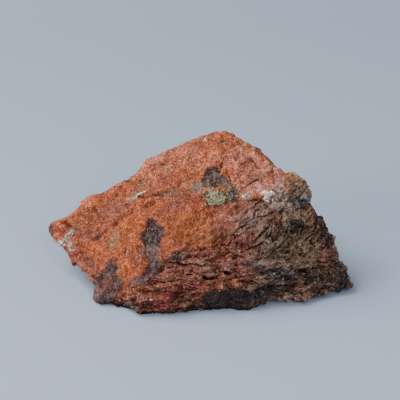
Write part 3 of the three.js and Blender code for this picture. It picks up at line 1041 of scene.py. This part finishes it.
def lath_corners(random, kind, start, ground):
    """The rings of each lath, which keeps close to the surface on its way."""
    count, rings = kind["count"], kind["rings"]
    steps = random.uniform(*kind["length"], count)[:, None] / (rings - 1)
    widths = random.uniform(*kind["width"], count)
    lean = random.normal(0, 0.25, count)
    lift = random.uniform(-0.1, 0.08, count)[:, None]
    at = start
    place = ground.points[start]
    corners = []
    for ring in range(rings):
        facing = unit(ground.normals[at] + ground.fields.normals[at])
        along, across = axes_on(facing, lath_turns(place, at, kind, ground.fields) + lean)
        taper = 0.6 + 0.4 * math.sin(math.pi * ring / (rings - 1))
        half = (0.5 * widths * taper * random.uniform(0.8, 1.2, count))[:, None]
        foot = place + facing * lift
        corners += [foot - across * half, foot + facing * 1.7 * half, foot + across * half]
        place = place + along * steps
        at = ground.nearest(place)
        off = np.einsum("ij,ij->i", place - ground.points[at], ground.normals[at])
        place = place - 0.8 * off[:, None] * ground.normals[at]
    return np.stack(corners, 1)


def lath_colours(random, kind, start, ground):
    """Each lath has the stone's colour at its start, but brighter, and many are pale."""
    fields, stone = ground.fields, ground.calm[start]
    bright = np.exp(random.normal(kind["bright"], 0.55, kind["count"]))[:, None]
    grey = eased(8, 18, fields.places[start, 0])
    pale = random.uniform(*kind["pale"], kind["count"]) + 0.3 * lumps(fields.points[start], 2, 64)
    pale -= 0.6 * eased(0.09, 0.03, stone.mean(axis=1)) + 0.6 * fields.foliated[start]
    pale -= 1.1 * (1 - fields.broken[start]) + 0.2 * (1 - grey)
    shades = blended(mixed(linear("tan"), linear("pink"), 0.5),
                     mixed(linear("tan"), linear("bone"), 0.4), grey)
    colours = blended(stone * bright, shades, np.clip(pale, 0, 0.9))
    # Painted shade and highlight: each lath takes the stone's painted shade where it starts, and its
    # rings are painted light on the crest and dark at the foot
    colours *= ground.shade[start][:, None] ** 0.8
    colours = colours[:, None] * np.tile(RING_SHADES, kind["rings"])[:, None]
    return held(colours.reshape(-1, 3), 0.004, 0.7)


def make_laths(name, kind, ground):
    random = np.random.default_rng(kind["seed"])
    start = lath_starts(random, kind, ground)
    corners = lath_corners(random, kind, start, ground)
    points, triangles = copies(corners, lath_triangles(kind["rings"]))
    colours = lath_colours(random, kind, start, ground)
    return mesh_object(name, above_floor(points), triangles, colours)


# Crystals

def crumbs(random, ground):
    """Crumbs all over the break: their points, sizes, colours and glints."""
    density = ground.fields.broken * ground.fields.open
    at = random.choice(len(density), CRUMB_COUNT, p=density / density.sum())
    sizes = random.uniform(0.2, 0.45, CRUMB_COUNT)
    bright = np.exp(random.normal(0.3, 0.45, CRUMB_COUNT))[:, None]
    pale = (random.random(CRUMB_COUNT) < 0.45) * random.uniform(0.2, 0.9, CRUMB_COUNT)
    colours = blended(ground.paint[at] * bright, linear("putty"), pale)
    # Painted shade: crumbs take the stone's painted shade where they sit
    colours = held(colours * ground.shade[at][:, None], 0.004, 0.7)
    return at, sizes, colours, np.zeros(CRUMB_COUNT)


def cluster(random, fields, colour, middle, half, turn, count, size):
    """The crystals of one row of CRYSTALS, in the same form. Most of the white ones glint."""
    white = colour == "white"
    away = from_middle(fields.places, middle, half, turn)
    at = random.choice(np.flatnonzero((away < 1) & (fields.front > 0.4)), count)
    sizes = size * random.uniform(0.5, 1.1, count)
    shades = random.uniform(0.9 if white else 0.4, 1.2, count)[:, None]
    glints = 0.7 * (white & (random.random(count) < 0.75))
    return at, sizes, held(linear(colour) * shades, 0.01, 0.95), glints


def make_crystals(ground):
    random = np.random.default_rng(71)
    groups = [crumbs(random, ground)]
    groups += [cluster(random, ground.fields, *row) for row in CRYSTALS]
    at, sizes, colours, glints = map(np.concatenate, zip(*groups))
    count = len(at)
    # The more a crystal glints, the more its cleavage faces the light
    normals = blended(ground.fields.normals[at], CLEAVAGE, 1.3 * glints)
    loose = 0.35 * (1 - glints[:, None])
    normals = unit(normals + random.normal(0, 1, (count, 3)) * loose)
    along, across = axes_on(normals, random.uniform(0, math.pi, count))
    shape = BLOCK_CORNERS * random.uniform(0.8, 1.2, (count, 8, 3))
    shape *= (sizes[:, None] * random.uniform(0.6, 1.1, (count, 3)))[:, None]
    points = ground.points[at][:, None] + (
        along[:, None] * shape[..., 0:1] + across[:, None] * shape[..., 1:2]
        + normals[:, None] * (shape[..., 2:3] + CRYSTAL_LIFT)
    )
    points, triangles = copies(points, BLOCK_TRIANGLES)
    crystals = mesh_object(
        "crystals", above_floor(points), triangles, np.repeat(colours, 8, axis=0)
    )
    add_field(crystals, "glint", np.repeat(glints, 8))
    return crystals


# Finishes

class Socket:
    """A value that varies over the surface, with the usual sums on it."""

    def __init__(self, finish, output):
        self.finish = finish
        self.output = output

    def sum(self, operation, *values):
        inputs = dict(enumerate(values))
        return self.finish.node("ShaderNodeMath", {"operation": operation}, inputs)

    def __add__(self, other):
        return self.sum("ADD", self, other)

    def __sub__(self, other):
        return self.sum("SUBTRACT", self, other)

    def __rsub__(self, other):
        return self.sum("SUBTRACT", other, self)

    def __mul__(self, other):
        return self.sum("MULTIPLY", self, other)

    def __abs__(self):
        return self.sum("ABSOLUTE", self)

    def __rpow__(self, other):
        return self.sum("POWER", other, self)

    __radd__ = __add__
    __rmul__ = __mul__


class Finish:
    """A material and the nodes that it is made of."""

    def __init__(self, name):
        self.material = bpy.data.materials.new(name)
        self.material.use_nodes = True
        self.tree = self.material.node_tree
        self.shader = self.tree.nodes["Principled BSDF"]

    def put(self, socket, value):
        if isinstance(value, Socket):
            self.tree.links.new(value.output, socket)
        else:
            socket.default_value = value

    def node(self, kind, settings, inputs, output=0):
        """A node with its settings, then the values or links of its sockets."""
        made = self.tree.nodes.new(kind)
        for name, value in settings.items():
            setattr(made, name, value)
        for name, value in inputs.items():
            self.put(made.inputs[name], value)
        return Socket(self, made.outputs[output])

    def set(self, values):
        for name, value in values.items():
            self.put(self.shader.inputs[name], value)

    def field(self, name, output="Fac"):
        return self.node("ShaderNodeAttribute", {"attribute_name": name}, {}, output)

    def places(self):
        return self.node("ShaderNodeTexCoord", {}, {}, "Object")

    def moved(self, shift, drawn, turn):
        """Places on the stone, moved by shift and drawn out along a turned line."""
        return self.node("ShaderNodeMapping", {"vector_type": "TEXTURE"}, {
            "Vector": self.places(), "Location": (shift, shift, 0),
            "Rotation": (0, -math.radians(turn), 0), "Scale": (drawn, 1, 1),
        })

    def noise(self, size, detail=2, roughness=0.6, shift=0, distortion=0):
        """Noise of 0 to 1 whose lumps are size mm across."""
        return self.node("ShaderNodeTexNoise", {}, {
            "Vector": self.moved(shift, 1, 0), "Scale": 1 / (size * MM), "Detail": detail,
            "Roughness": roughness, "Distortion": distortion,
        })

    def grains(self, size, shift=0, drawn=1, turn=0):
        """Irregular grains size mm across: a random number for each, and its dome."""
        distance = self.node("ShaderNodeTexVoronoi", {}, {
            "Vector": self.moved(shift, drawn, turn), "Scale": 1 / (size * MM),
        })
        colour = Socket(self, distance.output.node.outputs["Color"])
        return self.node("ShaderNodeSeparateColor", {}, {"Color": colour}), 1 - distance

    def between(self, value, low, high, start=0, end=1):
        """The value brought from the range low to high into start to end, and held there."""
        inputs = {"Value": value, "From Min": low, "From Max": high, "To Min": start, "To Max": end}
        return self.node("ShaderNodeMapRange", {}, inputs)

    def mix(self, share, first, second, blend="MIX"):
        settings = {"data_type": "RGBA", "blend_type": blend}
        inputs = {MIX_SHARE: share, MIX_FIRST: first, MIX_SECOND: second}
        return self.node("ShaderNodeMix", settings, inputs, MIX_RESULT)

    def bump(self, height, strength, distance):
        inputs = {"Height": height, "Strength": strength, "Distance": distance * MM}
        return self.node("ShaderNodeBump", {}, inputs)


def rgba(colour):
    return (*linear(colour), 1)


def stone_finish():
    finish = Finish("weathered nuummite")
    broken, bare = finish.field("broken"), finish.field("bare")
    fine = finish.noise(0.45, 3, 0.8)
    soft = finish.noise(1.6, 3, 0.6, 0.11)
    chance, dome = finish.grains(0.26)
    lath, lath_dome = finish.grains(0.4, 0.17, drawn=3.5, turn=32)
    curls = finish.noise(0.9, 1, 0.5, 0.31, distortion=1.5)
    threads = finish.between(abs(curls - 0.5), 0.05, 0)
    # Grains differ in how light they are, hardly in hue; pale threads run over the break
    on_rind = finish.between(chance, 0, 1, -1.1, 0.9)
    on_break = finish.between(lath, 0.2, 1, -1.2, 0.5) + threads
    grain = on_rind + (on_break - on_rind) * broken
    grain = grain + finish.between(fine, 0.3, 0.7, -1.1, 0.9)
    grain = grain + finish.between(soft, 0.35, 0.65, -0.2, 0.2)
    grain = grain * (1 - 0.2 * bare)
    colour = finish.mix(1, finish.field("paint", "Color"), 2 ** grain, "MULTIPLY")
    # The lightest grains and threads turn toward bone: partly their own pale colour, partly a painted
    # highlight
    colour = finish.mix(finish.between(grain, 0, 2, 0, 0.3), colour, rgba("bone"))
    warm = finish.between(soft, 0.54, 0.68) * (1 - broken) * (1 - bare) * 0.2
    height = fine * 0.6 + (dome + (lath_dome - dome) * broken) * 0.25 + threads * broken * 0.2
    finish.set({
        "Base Color": finish.mix(warm, colour, rgba("orange")),
        "Roughness": finish.between(fine, 0.35, 0.65, 0.9, 0.6),
        "Normal": finish.bump(height, 1, 0.8),
        "Specular IOR Level": 0.25,
    })
    return finish.material


def grown_finish(name, roughness, dark, light, glint=None):
    """The finish of laths and crystals: each in its own colour, from dark to light of it."""
    finish = Finish(name)
    shade = finish.between(finish.noise(0.35), 0.35, 0.65, dark, light)
    finish.set({
        "Base Color": finish.mix(1, finish.field("paint", "Color"), shade, "MULTIPLY"),
        "Metallic": finish.field(glint) if glint else 0,
        "Roughness": roughness,
        "Specular IOR Level": 0.3,
    })
    return finish.material


def floor_finish():
    finish = Finish("pale floor")
    # Painted light: the floor is lighter at the front and darker towards the back
    back = finish.node("ShaderNodeSeparateXYZ", {}, {"Vector": finish.places()}, "Y")
    finish.set({
        "Base Color": finish.mix(finish.between(back, *FLOOR_FADE), FLOOR_NEAR, FLOOR_FAR),
        "Roughness": 0.7,
        "Specular IOR Level": 0.2,
    })
    return finish.material


# The set

def make_floor():
    bpy.ops.mesh.primitive_plane_add(size=FLOOR_WIDTH, location=(0, 0, 0))
    floor = bpy.context.object
    floor.name = "floor"
    floor.data.materials.append(floor_finish())


def make_camera():
    data = bpy.data.cameras.new("camera")
    data.lens = LENS
    data.sensor_width = SENSOR
    data.clip_start, data.clip_end = 0.01, 50
    camera = bpy.data.objects.new("camera", data)
    camera.location = (AIM + TO_CAMERA * CAMERA_AWAY) * MM
    camera.rotation_euler = (math.pi / 2 - CAMERA_TILT, 0, 0)
    bpy.context.scene.collection.objects.link(camera)
    bpy.context.scene.camera = camera


def make_lamp(name, place, size, power, colour):
    """A round lamp that points at the stone."""
    data = bpy.data.lights.new(name, "AREA")
    data.shape, data.size = "DISK", size
    data.energy = power
    data.color = colour
    lamp = bpy.data.objects.new(name, data)
    lamp.location = place
    lamp.rotation_euler = (-Vector(place)).to_track_quat("-Z", "Y").to_euler()
    bpy.context.scene.collection.objects.link(lamp)


def make_light():
    world = bpy.data.worlds.new("studio")
    world.use_nodes = True
    sky = world.node_tree.nodes["Background"]
    sky.inputs["Color"].default_value = SKY
    sky.inputs["Strength"].default_value = SKY_STRENGTH
    bpy.context.scene.world = world
    for lamp in LAMPS:
        make_lamp(*lamp)


def ride(piece, finish):
    piece.data.materials.append(finish)
    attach(piece, "root")


make_camera()
make_light()
make_floor()
ground = Ground()
stone = make_stone(ground)
ride(stone, stone_finish())
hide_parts("nuummite")
lath_finish = grown_finish("laths", 0.5, 0.6, 1.4)
for name, kind in LATHS.items():
    ride(make_laths(name, kind, ground), lath_finish)
ride(make_crystals(ground), grown_finish("crystals", 0.35, 0.85, 1.15, "glint"))
